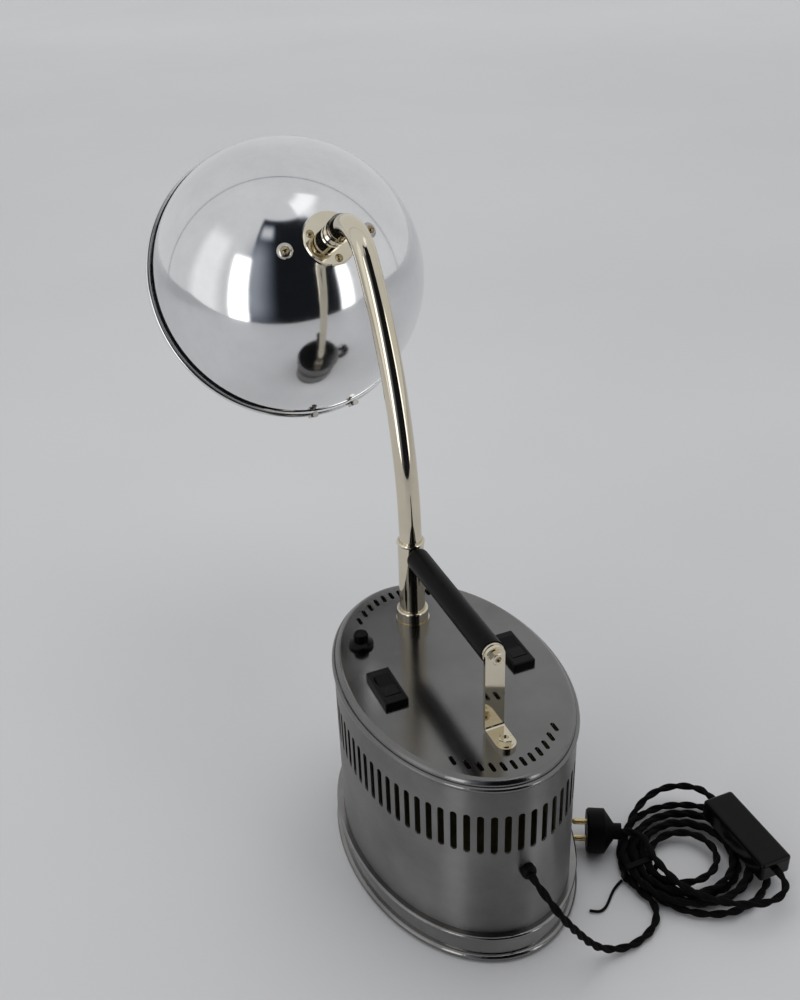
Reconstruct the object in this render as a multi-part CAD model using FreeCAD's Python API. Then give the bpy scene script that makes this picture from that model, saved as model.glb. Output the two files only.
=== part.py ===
import FreeCAD, Part
import math
import os

# Table-top treatment lamp: a slotted oval housing with a carrying handle, a swivelling bent arm
# in a post, and a round reflector on a ball joint. Millimetres, +Z up. The origin lies under the
# middle of the housing, on the surface it stands on. The long axis is Y, with the post at +Y.

Vector = FreeCAD.Vector
os.makedirs("parts", exist_ok=True)

# Turns and shared clearances
full_turn = 360.0
quarter_turn = 90.0
fit_gap = 0.1
seat_gap = 0.3
running_gap = 0.05
overrun = 5.0
diagonal_share = math.sqrt(0.5)

# Housing
body_half_length = 125.0
body_half_width = 83.5
body_wall = 1.5
housing_height = 177.0
plate_thickness = 2.0
ring_height = 26.0
ring_wall = 3.5
ring_lip_radius = 3.2
ring_bead_radius = 2.1
slot_count = 68
slot_width = 5.0
slot_drop = 22.5
slot_height = 37.0

# Lid
lid_height = 9.0
lid_plate = 1.6
lid_shoulder_radius = 4.8
lid_shoulder_inset = 1.2
lid_groove = 0.8
lid_bead_out = 1.5
lid_overlap = 2.0
spigot_depth = 4.0
spigot_wall = 1.5
lid_slot_count = 12
lid_slot_pitch = 7.3
lid_slot_width = 3.2
lid_slot_length = 9.5
lid_slot_inset = 16.0

# Post
post_place = 72.0
sleeve_above_handle = 10.0
sleeve_radius = 10.2
sleeve_ring_radius = 11.0
sleeve_ring_height = 3.2
arm_seat_rise = 22.0
collar_radius = 13.4
collar_height = 13.0
collar_foot = 3.0
collar_body_radius = 12.6
collar_groove = 0.8
collar_round = 1.4

# Arm
arm_radius = 8.75
arm_wall = 1.4
arm_rise_above = 2.0
arm_long_radius = 346.0
arm_long_angle = 36.0
arm_short_radius = 36.0
arm_end_angle = 121.0
arm_end_run = 6.0

# Ball joint at the end of the arm, and the small turns about X, Y and Z in which the head stands
head_nod = -1.9
head_lean = -2.3
head_turn = 5.3
neck_collar_radius = 10.6
neck_collar_wrap = 5.0
neck_collar_cap = 5.0
neck_collar_round = 1.2
ball_radius = 6.8
ball_place = 15.0
stud_radius = 3.3
cup_radius = 10.0
cup_length = 12.0
cup_mouth_angle = 56.0
cup_mouth_radius = 7.8
cup_groove = 0.9
cup_groove_width = 1.4

# Flange and reflector
flange_radius = 22.0
flange_thickness = 3.0
flange_edge = 1.0
flange_screw_count = 3
flange_screw_circle = 16.8
flange_screw_angle = 6.0
reflector_radius = 119.5
reflector_wall = 1.2
land_margin = 0.5
rim_band_width = 7.0
rim_band_wall = 1.5
rim_lip_height = 4.6
rim_lip_out = 1.8
rim_lip_in = 1.6
clip_angle = 9.0
clip_width = 6.0
clip_depth = 3.6
clip_length = 8.0
clip_screw_radius = 1.6
clip_screw_length = 3.2
clip_head_radius = 2.5
clip_head_height = 1.8
washer_place = 37.0
washer_radius = 6.5
washer_height = 1.9

# Screws of the head
head_screw_radius = 1.9
head_screw_head_radius = 3.4
head_screw_head_height = 2.2
head_screw_tail = 2.4
head_screw_slot = 0.9

# Lamp
holder_radius = 19.0
holder_foot = 5.0
holder_body_radius = 17.0
holder_length = 41.0
socket_radius = 13.6
socket_depth = 27.0
bulb_cap_radius = 13.3
bulb_neck_radius = 12.6
bulb_neck_length = 9.0
bulb_radius = 30.0
bulb_length = 70.0
bulb_wall = 1.0

# Handle
handle_rise = 67.0
grip_radius = 9.0
grip_dome = 4.0
rod_radius = 2.3
rod_recess = 1.6
grip_ring_radius = 8.2
grip_ring_length = 2.2
strap_inset = 55.5
strap_thickness = 3.0
strap_width = 15.2
strap_bend_radius = 5.0
strap_foot_reach = 20.0
strap_washer_radius = 5.6
strap_washer_height = 0.8
nut_radius = 4.9
nut_height = 3.6
nut_edge = 0.6
nut_sides = 6
foot_bolt_radius = 2.5
foot_bolt_tail = 6.0

# Switches
switch_place = 52.5
switch_width = 18.5
switch_length = 40.0
switch_height = 5.0
switch_round = 1.2
rocker_width = 12.0
rocker_half_length = 12.0
rocker_gap = 0.4
rocker_pivot_height = 2.7
rocker_pin_radius = 1.0
rocker_pin_length = 1.8
rocker_rest_angle = 7.0
rocker_outline_shares = [(-0.74, -0.1), (0.74, -0.1), (0.97, 0.05), (0.92, 0.3),
                         (0.06, 0.18), (-0.06, 0.18), (-0.92, 0.3), (-0.97, 0.05)]

# Knob
knob_place_x = -50.0
knob_place_y = 59.0
knob_skirt_radius = 9.8
knob_skirt_height = 2.8
knob_grip_radius = 5.8
knob_grip_foot = 4.2
knob_height = 11.0
knob_edge = 0.8
knob_flute_count = 12
knob_flute_radius = 0.9
knob_top_wall = 2.5
shaft_radius = 3.0
shaft_drop = 14.0
control_radius = 12.0
control_height = 11.0

# Cord: from the gland into the coil, from the coil to the box's far end, from its near end to the plug
cord_radius = 3.1
gland_radius = 5.7
gland_length = 7.0
gland_neck_radius = 4.4
gland_flange = 2.0
gland_lip = 0.8
gland_height = 89.0
coil_left = 106.0
coil_right = 222.0
coil_line = -107.0
coil_turns_in = 3
coil_left_pitch = 6.9
coil_right_pitch = 12.0
coil_upper_left = 3.5
coil_upper_right = 5.5
coil_layer_gap = 0.6
tie_thickness = 1.2
tie_width = 5.0
tie_place = 4.0
tie_round = 2.0
tie_room = 3.0
tail_radius = 1.1
lead_route = [(0.0, -132.0, 89.0), (0.0, -142.4, 89.0), (2.1, -151.7, 85.1), (6.0, -158.8, 77.6),
              (11.6, -162.0, 67.6), (18.5, -162.0, 56.2), (26.5, -159.5, 42.5), (35.5, -157.8, 28.0),
              (46.5, -157.0, 14.5), (60.0, -157.2, 6.0), (75.0, -157.5, 3.1), (89.0, -153.0, 3.2),
              (99.7, -143.5, 3.8), (106.0, -130.5, 4.6), (106.0, -113.2, 4.6)]
loop_route = [(109.5, -100.8, 11.4), (109.5, -88.4, 11.4), (116.8, -77.2, 11.4), (126.0, -67.0, 11.6),
              (136.5, -56.5, 12.2), (149.0, -47.5, 13.2), (163.5, -41.5, 15.0), (178.5, -40.8, 17.0),
              (191.5, -46.5, 19.4), (200.5, -56.0, 21.8), (204.0, -67.5, 23.8), (204.0, -78.5, 23.8)]
tail_route = [(204.0, -156.5, 23.8), (204.0, -168.0, 23.8), (198.2, -178.1, 22.8), (188.1, -183.9, 21.4),
              (176.0, -184.2, 20.2), (164.5, -180.0, 19.3), (155.0, -172.0, 18.6), (148.0, -161.5, 18.3),
              (143.2, -148.5, 18.6), (140.0, -134.0, 19.2), (138.0, -118.5, 19.7), (137.0, -102.0, 19.9),
              (137.2, -85.7, 19.4), (130.5, -74.6, 18.2), (119.0, -68.5, 18.2)]
tie_route = [(101.0, -100.5, 2.2), (94.0, -103.0, 1.8), (87.0, -108.0, 1.3), (80.5, -114.0, 1.3),
             (74.0, -118.6, 1.3), (68.0, -118.6, 1.3), (63.2, -114.6, 1.3)]

# Box and plug on the cord
box_width = 28.0
box_round = 3.0
box_half_height = 9.0
plug_radius = 18.0
plug_length = 28.0
plug_neck_radius = 6.6
plug_neck_length = 6.0
plug_shoulder = 14.0
plug_edge = 1.5
plug_roll = 90.0
pin_radius = 2.4
pin_length = 12.0
pin_spacing = 19.0

# Places that follow from the sizes above
body_top = housing_height - lid_height
slot_bottom = body_top - slot_drop - slot_height
handle_height = housing_height + handle_rise
arm_seat = housing_height + arm_seat_rise
shaft_bottom = housing_height - shaft_drop
handle_rear = post_place - sleeve_radius - seat_gap
post_top = handle_height + sleeve_above_handle
arm_rise_top = post_top + arm_rise_above
strap_place = strap_inset - body_half_length
arm_bore = arm_radius + running_gap
up = Vector(0, 0, 1)
right = Vector(1, 0, 0)
back = Vector(0, 1, 0)
origin = Vector(0, 0, 0)


def save(name, solids):
    shape = solids[0] if len(solids) == 1 else Part.makeCompound(solids)
    shape.exportStep("parts/" + name + ".step")
    print(name, len(shape.Solids), round(shape.Volume, 1), shape.isValid())


def drawn(steps, lift):
    # A closed outline: each step is a point, or a pair of a point on an arc and the arc's end.
    edges = []
    here = steps[0]
    for step in steps[1:] + steps[:1]:
        if isinstance(step[0], tuple):
            via, there = step
            edges.append(Part.Arc(lift(*here), lift(*via), lift(*there)).toShape())
        else:
            there = step
            if there != here:
                edges.append(Part.LineSegment(lift(*here), lift(*there)).toShape())
        here = there
    return Part.Wire(edges)


def turned(steps, place):
    # A round piece: the outline's points are a radius and a distance along the axis.
    face = Part.Face(drawn(steps, lambda radius, along: Vector(radius, 0, along)))
    return face.revolve(origin, up, full_turn).transformed(place.toMatrix(), True)


def facing(base, direction):
    return FreeCAD.Placement(base, FreeCAD.Rotation(up, direction))


def oval_wire(out, height):
    ends = Vector(0, body_half_length + out, height)
    side = Vector(body_half_width + out, 0, height)
    return Part.Wire(Part.Ellipse(ends, side, Vector(0, 0, height)).toShape())


def oval_prism(out, bottom, top):
    return Part.Face(oval_wire(out, bottom)).extrude(up * (top - bottom))


def oval_band(steps):
    # A profile carried round the body: its points are a distance out from the body and a height.
    profile = drawn(steps, lambda out, height: Vector(0, body_half_length + out, height))
    return oval_wire(0, 0).makePipeShell([profile], True, False)


def block(low, high):
    size = high - low
    return Part.makeBox(size.x, size.y, size.z, low)


def obround(width, length, depth):
    # A slot cutter round the origin: the slot runs along Z, the cut along X.
    side = width / 2
    half = length / 2 - side
    outline = drawn([(-side, half), (-side, -half), ((0, -half - side), (side, -half)),
                     (side, half), ((0, half + side), (-side, half))],
                    lambda across, along: Vector(-depth, across, along))
    return Part.Face(outline).extrude(right * (depth * 2))


def rounded_route(points):
    # Straight runs joined by tangent arcs; returns the wire and its tightest radius.
    corners = [Vector(*point) for point in points]
    reach_share = 0.45
    edges = []
    radii = []
    here = corners[0]
    for before, corner, after in zip(corners, corners[1:], corners[2:]):
        incoming = (corner - before).normalize()
        outgoing = (after - corner).normalize()
        reach = reach_share * min(corner.distanceToPoint(before), corner.distanceToPoint(after))
        enter = corner - incoming * reach
        leave = corner + outgoing * reach
        half_angle = incoming.getAngle(outgoing) / 2
        radius = reach / math.tan(half_angle)
        middle = corner + (outgoing - incoming).normalize() * (radius / math.cos(half_angle) - radius)
        edges.append(Part.LineSegment(here, enter).toShape())
        edges.append(Part.Arc(enter, middle, leave).toShape())
        radii.append(radius)
        here = leave
    edges.append(Part.LineSegment(here, corners[-1]).toShape())
    return Part.Wire(edges), min(radii)


def tube(wire, radius):
    first = wire.OrderedEdges[0]
    start = first.valueAt(first.FirstParameter)
    section = Part.Wire(Part.Circle(start, first.tangentAt(first.FirstParameter), radius).toShape())
    return wire.makePipeShell([section], True, False)


def cord_tube(name, points, radius):
    wire, tightest = rounded_route(points)
    solid = tube(wire, radius)
    share = solid.Volume / (math.pi * radius ** 2 * wire.Length)
    print(name, "length", round(wire.Length, 1), "tightest bend", round(tightest, 1))
    print(name, "volume share", round(share, 4))
    return solid


def dome(radius, foot, height):
    # The arc of a ball's cap, from a round piece's edge at the foot up to its axis.
    ball = (radius ** 2 + height ** 2) / (2 * height)
    half_angle = math.asin(radius / ball) / 2
    top = foot + height
    via = (ball * math.sin(half_angle), top - ball + ball * math.cos(half_angle))
    return via, (0, top)


def screw(base, direction, radius, head_radius, head_height, tail):
    # A domed screw: base lies under the head, the shank runs back along the direction.
    steps = [(0, -tail), (radius, -tail), (radius, 0), (head_radius, 0), dome(head_radius, 0, head_height)]
    half_slot = head_screw_slot / 2
    reach = head_radius + overrun
    slot = block(Vector(-reach, -half_slot, head_height - head_screw_slot),
                 Vector(reach, half_slot, head_height + overrun))
    place = facing(base, direction)
    slot.Placement = place.multiply(slot.Placement)
    return turned(steps, place).cut(slot)


def make_housing():
    inner = fit_gap
    wall = inner + ring_wall
    ring = oval_band([(inner, 0), (wall, 0),
                      ((wall + ring_lip_radius, ring_lip_radius), (wall, ring_lip_radius * 2)),
                      (wall, ring_height - ring_bead_radius * 2),
                      ((wall + ring_bead_radius, ring_height - ring_bead_radius), (wall, ring_height)),
                      (inner, ring_height)])
    save("base_ring", [ring])
    save("bottom_plate", [oval_prism(0, 0, plate_thickness)])

    shell = oval_prism(0, plate_thickness, body_top)
    shell = shell.cut(oval_prism(-body_wall, plate_thickness - overrun, body_top + overrun))
    cutter = obround(slot_width, slot_height, body_wall * 2)
    edge = oval_wire(0, slot_bottom + slot_height / 2).Edges[0]
    places = edge.discretize(Number=slot_count * 2 + 1)[1::2]
    cutters = []
    for place in places:
        normal = Vector(place.x / body_half_width ** 2, place.y / body_half_length ** 2, 0)
        cutters.append(moved(cutter, place, math.degrees(math.atan2(normal.y, normal.x))))
    gland_hole = Part.makeCylinder(gland_neck_radius + fit_gap, body_wall * 2 + overrun,
                                   Vector(0, -body_half_length - overrun, gland_height), back)
    shell = shell.cut(Part.makeCompound(cutters)).cut(gland_hole)
    save("body_shell", [shell])


def moved(shape, place, angle):
    copy = shape.copy()
    copy.rotate(origin, up, angle)
    copy.translate(place)
    return copy


def make_lid():
    top = housing_height
    round_out = -lid_shoulder_inset - lid_shoulder_radius
    shoulder = top - lid_shoulder_radius
    diagonal = lid_shoulder_radius * diagonal_share
    groove = shoulder - lid_groove / 2
    inner = round_out - lid_overlap
    spigot = -body_wall - fit_gap
    band = oval_band([(inner, top), (round_out, top),
                      ((round_out + diagonal, shoulder + diagonal), (-lid_shoulder_inset, shoulder)),
                      (-lid_shoulder_inset - lid_groove, groove),
                      ((lid_bead_out, (groove + body_top) / 2), (-fit_gap, body_top)),
                      (spigot, body_top), (spigot, body_top - spigot_depth),
                      (spigot - spigot_wall, body_top - spigot_depth),
                      (spigot - spigot_wall, top - lid_plate), (inner, top - lid_plate)])
    plate = oval_prism(round_out - lid_overlap / 2, top - lid_plate, top)
    lid = band.fuse(plate).removeSplitter()
    cutter = obround(lid_slot_width, lid_slot_length, lid_plate * 2)
    cutter.rotate(origin, back, quarter_turn)
    cutter.rotate(origin, up, quarter_turn)
    tools = []
    for number in range(lid_slot_count):
        across = (number - (lid_slot_count - 1) / 2) * lid_slot_pitch
        share = math.sqrt(1 - (across / (body_half_width - lid_slot_inset)) ** 2)
        along = (body_half_length - lid_slot_inset) * share
        tools += [moved(cutter, Vector(across, end * along, top), 0) for end in (-1, 1)]
    tools.append(pillar(knob_place_x, knob_place_y, shaft_radius + running_gap))
    tools.append(pillar(0, foot_bolt_place(), foot_bolt_radius + fit_gap))
    save("lid", [lid.cut(Part.makeCompound(tools))])


def pillar(across, along, radius):
    # A hole cutter through the lid.
    return Part.makeCylinder(radius, lid_plate + overrun * 2,
                             Vector(across, along, housing_height - lid_plate - overrun))


def foot_bolt_place():
    return strap_place - strap_foot_reach


def make_post():
    base = facing(Vector(0, post_place, housing_height), up)
    bore = sleeve_radius + fit_gap
    groove = collar_body_radius - collar_groove
    body_foot = collar_foot + collar_groove
    shoulder = collar_height - collar_round
    edge = collar_round * diagonal_share
    collar = turned([(bore, 0), (collar_radius, 0), (collar_radius, collar_foot), (groove, collar_foot),
                     (groove, body_foot), (collar_body_radius, body_foot), (collar_body_radius, shoulder),
                     ((collar_body_radius - collar_round + edge, shoulder + edge),
                      (collar_body_radius - collar_round, collar_height)), (bore, collar_height)], base)
    save("post_collar", [collar])
    height = post_top - housing_height
    seat = arm_seat - housing_height
    ring = height - sleeve_ring_height
    half_ring = ring + sleeve_ring_height / 2
    sleeve = turned([(arm_radius - arm_wall, 0), (sleeve_radius, 0), (sleeve_radius, ring),
                     ((sleeve_ring_radius, half_ring), (sleeve_radius, height)),
                     (arm_bore, height), (arm_bore, seat), (arm_radius - arm_wall, seat)], base)
    save("post_sleeve", [sleeve])


def arm_point(across, height):
    return Vector(0, post_place + across, height)


def arm_line():
    # The arm's centre line, and the place and direction of its end.
    def on_bend(start, radius, first, last):
        turn = math.radians(last)
        begin = math.radians(first)
        return (start[0] + radius * (math.cos(begin) - math.cos(turn)),
                start[1] + radius * (math.sin(turn) - math.sin(begin)))

    foot = (0, arm_seat + seat_gap)
    rise = (0, arm_rise_top)
    long_middle = on_bend(rise, arm_long_radius, 0, arm_long_angle / 2)
    long_end = on_bend(rise, arm_long_radius, 0, arm_long_angle)
    middle_angle = (arm_long_angle + arm_end_angle) / 2
    short_middle = on_bend(long_end, arm_short_radius, arm_long_angle, middle_angle)
    short_end = on_bend(long_end, arm_short_radius, arm_long_angle, arm_end_angle)
    angle = math.radians(arm_end_angle)
    heading = Vector(0, math.sin(angle), math.cos(angle))
    tip = arm_point(*short_end) + heading * arm_end_run
    wire = Part.Wire([Part.LineSegment(arm_point(*foot), arm_point(*rise)).toShape(),
                      Part.Arc(arm_point(*rise), arm_point(*long_middle), arm_point(*long_end)).toShape(),
                      Part.Arc(arm_point(*long_end), arm_point(*short_middle),
                               arm_point(*short_end)).toShape(),
                      Part.LineSegment(arm_point(*short_end), tip).toShape()])
    return wire, tip, heading


def make_arm():
    wire, tip, heading = arm_line()
    save("arm_tube", [tube(wire, arm_radius).cut(tube(wire, arm_radius - arm_wall))])
    place = facing(tip, heading)
    wrap = arm_radius + fit_gap
    bore = stud_radius + fit_gap
    edge = neck_collar_radius - neck_collar_round
    collar = turned([(bore, 0), (wrap, 0), (wrap, -neck_collar_wrap),
                     (neck_collar_radius, -neck_collar_wrap), (neck_collar_radius, -neck_collar_round),
                     ((edge, 0), (neck_collar_radius, neck_collar_round)),
                     (neck_collar_radius, neck_collar_cap - neck_collar_round),
                     (edge, neck_collar_cap), (bore, neck_collar_cap)], place)
    save("neck_collar", [collar])
    stem = ball_place - math.sqrt(ball_radius ** 2 - stud_radius ** 2)
    stud = turned([(0, 0), (stud_radius, 0), (stud_radius, stem),
                   ((ball_radius, ball_place), (0, ball_place + ball_radius))], place)
    save("neck_ball", [stud])


def head_frame():
    # The head's own zero point, axis and sideways direction: the arm's, turned about the ball.
    wire, tip, heading = arm_line()
    nod = FreeCAD.Rotation(right, head_nod)
    rest = nod * FreeCAD.Rotation(back, head_lean) * FreeCAD.Rotation(up, head_turn)
    ball = tip + heading * ball_place
    axis = rest.multVec(heading)
    return ball - axis * ball_place, axis, rest.multVec(right)


head_zero, head_axis, head_side = head_frame()
head_below = head_axis.cross(head_side)
head_place = facing(head_zero, head_axis)


def head_spot(radius, angle, along):
    # A point of the head: distance from its axis, angle about it from below, distance along it.
    turn = math.radians(angle)
    return (head_zero + head_axis * along + head_below * (radius * math.cos(turn))
            + head_side * (radius * math.sin(turn)))


flange_place = ball_place + cup_length
land_place = flange_place + flange_thickness
land_radius = flange_radius + land_margin
rim_place = land_place + math.sqrt(reflector_radius ** 2 - land_radius ** 2)


def make_neck():
    hollow = ball_radius + running_gap
    mouth = math.radians(cup_mouth_angle)
    mouth_along = ball_place - hollow * math.cos(mouth)
    mouth_inner = hollow * math.sin(mouth)
    taper = cup_radius - cup_mouth_radius
    groove = ball_place + cup_groove_width
    cup = turned([(mouth_inner, mouth_along), (cup_mouth_radius, mouth_along),
                  (cup_radius, mouth_along + taper), (cup_radius, groove),
                  (cup_radius - cup_groove, groove + cup_groove),
                  (cup_radius - cup_groove, groove + cup_groove + cup_groove_width),
                  (cup_radius, groove + cup_groove * 2 + cup_groove_width), (cup_radius, flange_place),
                  (0, flange_place), (0, ball_place + hollow),
                  ((hollow, ball_place), (mouth_inner, mouth_along))], head_place)
    save("neck_cup", [cup])
    flange = turned([(0, flange_place), (flange_radius - flange_edge, flange_place),
                     (flange_radius, flange_place + flange_edge), (flange_radius, land_place),
                     (0, land_place)], head_place)
    screws = []
    for number in range(flange_screw_count):
        angle = flange_screw_angle + number * full_turn / flange_screw_count
        spot = head_spot(flange_screw_circle, angle, flange_place)
        hole = Part.makeCylinder(head_screw_radius + fit_gap, flange_thickness + overrun * 2,
                                 spot - head_axis * overrun, head_axis)
        flange = flange.cut(hole)
        screws.append(screw(spot, head_axis * -1, head_screw_radius, head_screw_head_radius,
                            head_screw_head_height, flange_thickness + reflector_wall))
    save("flange", [flange])
    save("flange_screws", screws)


def make_reflector():
    inner = reflector_radius - reflector_wall
    land_inside = land_place + reflector_wall
    inside_land = math.sqrt(inner ** 2 - (rim_place - land_inside) ** 2)
    outer_half = reflector_radius * diagonal_share
    inner_half = inner * diagonal_share
    bowl = turned([(0, land_place), (land_radius, land_place),
                   ((outer_half, rim_place - outer_half), (reflector_radius, rim_place)), (inner, rim_place),
                   ((inner_half, rim_place - inner_half), (inside_land, land_inside)), (0, land_inside)],
                  head_place)
    holes = []
    for number in range(flange_screw_count):
        angle = flange_screw_angle + number * full_turn / flange_screw_count
        spot = head_spot(flange_screw_circle, angle, flange_place)
        holes.append(Part.makeCylinder(head_screw_radius + fit_gap, flange_thickness + overrun * 2,
                                       spot, head_axis))
    washers = []
    screws = []
    centre = head_spot(0, 0, rim_place)
    for side in (-1, 1):
        lean = side * math.asin(washer_place / reflector_radius)
        normal = head_side * math.sin(lean) - head_axis * math.cos(lean)
        spot = centre + normal * (reflector_radius + fit_gap / 2)
        bore = head_screw_radius + fit_gap
        half_way = (washer_radius + head_screw_head_radius) / 2
        washers.append(turned([(bore, 0), (washer_radius, 0),
                               ((half_way, washer_height * diagonal_share),
                                (head_screw_head_radius, washer_height)),
                               (bore, washer_height)], facing(spot, normal)))
        screws.append(screw(spot + normal * washer_height, normal, head_screw_radius, head_screw_head_radius,
                            head_screw_head_height, washer_height + reflector_wall + head_screw_tail))
        holes.append(Part.makeCylinder(bore, overrun * 2, spot - normal * overrun, normal))
    save("reflector", [bowl.cut(Part.makeCompound(holes))])
    save("reflector_washers", washers)
    save("reflector_screws", screws)


def make_rim():
    inner = reflector_radius + fit_gap
    outer = inner + rim_band_wall
    lip_start = rim_place + seat_gap
    lip_top = rim_place + rim_lip_height
    lip_middle = (lip_start + lip_top) / 2
    crown = (inner + outer) / 2
    band = turned([(inner, rim_place - rim_band_width), (outer, rim_place - rim_band_width),
                   (outer, rim_place), ((outer + rim_lip_out, lip_middle), (crown, lip_top)),
                   ((inner - rim_lip_in, lip_middle), (inner - rim_lip_in / 2, lip_start)),
                   (inner, lip_start)], head_place)
    save("rim_band", [band])
    clips = []
    screws = []
    for angle in (-clip_angle, clip_angle):
        spot = head_spot(0, 0, rim_place)
        outward = (head_spot(outer, angle, rim_place) - spot).normalize()
        corner = spot + outward * (outer + fit_gap) - head_axis * clip_length
        clip = block(Vector(-clip_width / 2, 0, 0), Vector(clip_width / 2, clip_depth, clip_length))
        clip.Placement = FreeCAD.Placement(corner, turn_to(outward.cross(head_axis), outward, head_axis))
        clips.append(clip)
        rear = corner + outward * (clip_depth / 2)
        screws.append(turned([(0, 0), (clip_screw_radius, 0), (clip_screw_radius, clip_screw_length),
                              (clip_head_radius, clip_screw_length),
                              (clip_head_radius, clip_screw_length + clip_head_height),
                              (0, clip_screw_length + clip_head_height)], facing(rear, head_axis * -1)))
    save("rim_clips", clips)
    save("rim_clip_screws", screws)


def turn_to(across, outward, along):
    # The rotation that carries X, Y and Z onto three square directions.
    return FreeCAD.Rotation(across, outward, along, "ZYX")


def make_lamp():
    start = land_place + reflector_wall
    end = start + holder_length
    floor = end - socket_depth
    step = holder_radius - holder_body_radius
    holder = turned([(0, start), (holder_radius, start), (holder_radius, start + holder_foot),
                     (holder_body_radius, start + holder_foot + step), (holder_body_radius, end),
                     (socket_radius, end), (socket_radius, floor), (0, floor)], head_place)
    cap_inside = bulb_cap_radius - bulb_wall
    cap = turned([(0, floor), (bulb_cap_radius, floor), (bulb_cap_radius, end), (cap_inside, end),
                  (cap_inside, floor + bulb_wall), (0, floor + bulb_wall)], head_place)
    neck_end = end + bulb_neck_length
    tip = end + bulb_length
    centre = tip - bulb_radius
    inside = bulb_radius - bulb_wall
    outer_half = bulb_radius * diagonal_share
    inner_half = inside * diagonal_share
    neck_inside = bulb_neck_radius - bulb_wall
    glass = turned([(neck_inside, end), (bulb_neck_radius, end), (bulb_neck_radius, neck_end),
                    ((outer_half, centre - outer_half), (bulb_radius, centre)),
                    ((outer_half, centre + outer_half), (0, tip)), (0, tip - bulb_wall),
                    ((inner_half, centre + inner_half), (inside, centre)),
                    ((inner_half, centre - inner_half), (neck_inside, neck_end))], head_place)
    save("lamp_holder", [holder])
    save("bulb_cap", [cap])
    save("bulb_glass", [glass])


def hexagon(place):
    # A hexagon nut or bolt head with a rounded-off outer face.
    corners = [Vector(nut_radius, 0, 0)]
    while len(corners) <= nut_sides:
        corners.append(FreeCAD.Rotation(up, full_turn / nut_sides).multVec(corners[-1]))
    prism = Part.Face(Part.makePolygon(corners)).extrude(up * nut_height)
    crown = nut_radius - nut_edge / diagonal_share
    cone = turned([(0, 0), (nut_radius, 0), (nut_radius, nut_height - nut_edge), (crown, nut_height),
                   (0, nut_height)], facing(origin, up))
    return prism.common(cone).transformed(place.toMatrix(), True)


def make_handle():
    bore = rod_radius + fit_gap
    ring_place = strap_place + grip_ring_length
    length = handle_rear - ring_place
    post_end = facing(Vector(0, handle_rear, handle_height), back * -1)
    crown = grip_radius - grip_dome
    bulge = grip_dome * diagonal_share
    grip = turned([(bore, 0), (crown, 0),
                   ((crown + bulge, grip_dome - bulge), (grip_radius, grip_dome)),
                   (grip_radius, length), (bore, length)], post_end)
    save("handle_grip", [grip])
    ring = turned([(bore, length), (grip_ring_radius, length), (grip_ring_radius, length + grip_ring_length),
                   (bore, length + grip_ring_length)], post_end)
    save("grip_ring", [ring])

    outer = strap_place - strap_thickness
    foot = foot_bolt_place()
    half = strap_width / 2
    floor = housing_height
    inner_bend = strap_bend_radius - strap_thickness
    outer_bend = strap_bend_radius * (1 - diagonal_share)
    inside_bend = inner_bend * (1 - diagonal_share)
    side = drawn([(strap_place, handle_height), (strap_place, floor + strap_bend_radius),
                  ((strap_place - outer_bend, floor + outer_bend), (strap_place - strap_bend_radius, floor)),
                  (foot, floor), (foot, floor + strap_thickness),
                  (outer - inner_bend, floor + strap_thickness),
                  ((outer - inside_bend, floor + strap_thickness + inside_bend),
                   (outer, floor + strap_thickness + inner_bend)), (outer, handle_height)],
                 lambda along, height: Vector(-half, along, height))
    strap = Part.Face(side).extrude(right * strap_width)
    top_end = Part.makeCylinder(half, strap_thickness, Vector(0, outer, handle_height), back)
    foot_end = Part.makeCylinder(half, strap_thickness, Vector(0, foot, floor), up)
    rod_hole = Part.makeCylinder(bore, strap_thickness + overrun * 2,
                                 Vector(0, outer - overrun, handle_height), back)
    bolt_hole = Part.makeCylinder(foot_bolt_radius + fit_gap, strap_thickness + overrun * 2,
                                  Vector(0, foot, floor - overrun), up)
    strap = strap.multiFuse([top_end, foot_end]).removeSplitter()
    strap = strap.cut(Part.makeCompound([rod_hole, bolt_hole]))
    save("handle_strap", [strap])

    rod_end = outer - strap_washer_height - nut_height + rod_recess
    rod = Part.makeCylinder(rod_radius, handle_rear - rod_end, Vector(0, rod_end, handle_height), back)
    save("handle_rod", [rod])
    top_washer = turned([(bore, 0), (strap_washer_radius, 0), (strap_washer_radius, strap_washer_height),
                         (bore, strap_washer_height)], facing(Vector(0, outer, handle_height), back * -1))
    bolt_seat = Vector(0, foot, floor + strap_thickness)
    bolt_bore = foot_bolt_radius + fit_gap
    foot_washer = turned([(bolt_bore, 0), (strap_washer_radius, 0),
                          (strap_washer_radius, strap_washer_height), (bolt_bore, strap_washer_height)],
                         facing(bolt_seat, up))
    save("strap_washers", [top_washer, foot_washer])
    nut_place = facing(Vector(0, outer - strap_washer_height, handle_height), back * -1)
    nut_hole = turned([(0, -overrun), (bore, -overrun), (bore, nut_height + overrun),
                       (0, nut_height + overrun)], nut_place)
    save("strap_nut", [hexagon(nut_place).cut(nut_hole)])
    bolt_place = facing(bolt_seat + up * strap_washer_height, up)
    shank = strap_washer_height + strap_thickness + foot_bolt_tail
    bolt = turned([(0, -shank), (foot_bolt_radius, -shank), (foot_bolt_radius, 0), (0, 0)], bolt_place)
    recess = turned([(0, nut_height - rod_recess), (rod_radius, nut_height - rod_recess),
                     (rod_radius, nut_height + overrun), (0, nut_height + overrun)], bolt_place)
    bolt = hexagon(bolt_place).cut(recess).fuse(bolt).removeSplitter()
    save("foot_bolt", [bolt])


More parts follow.
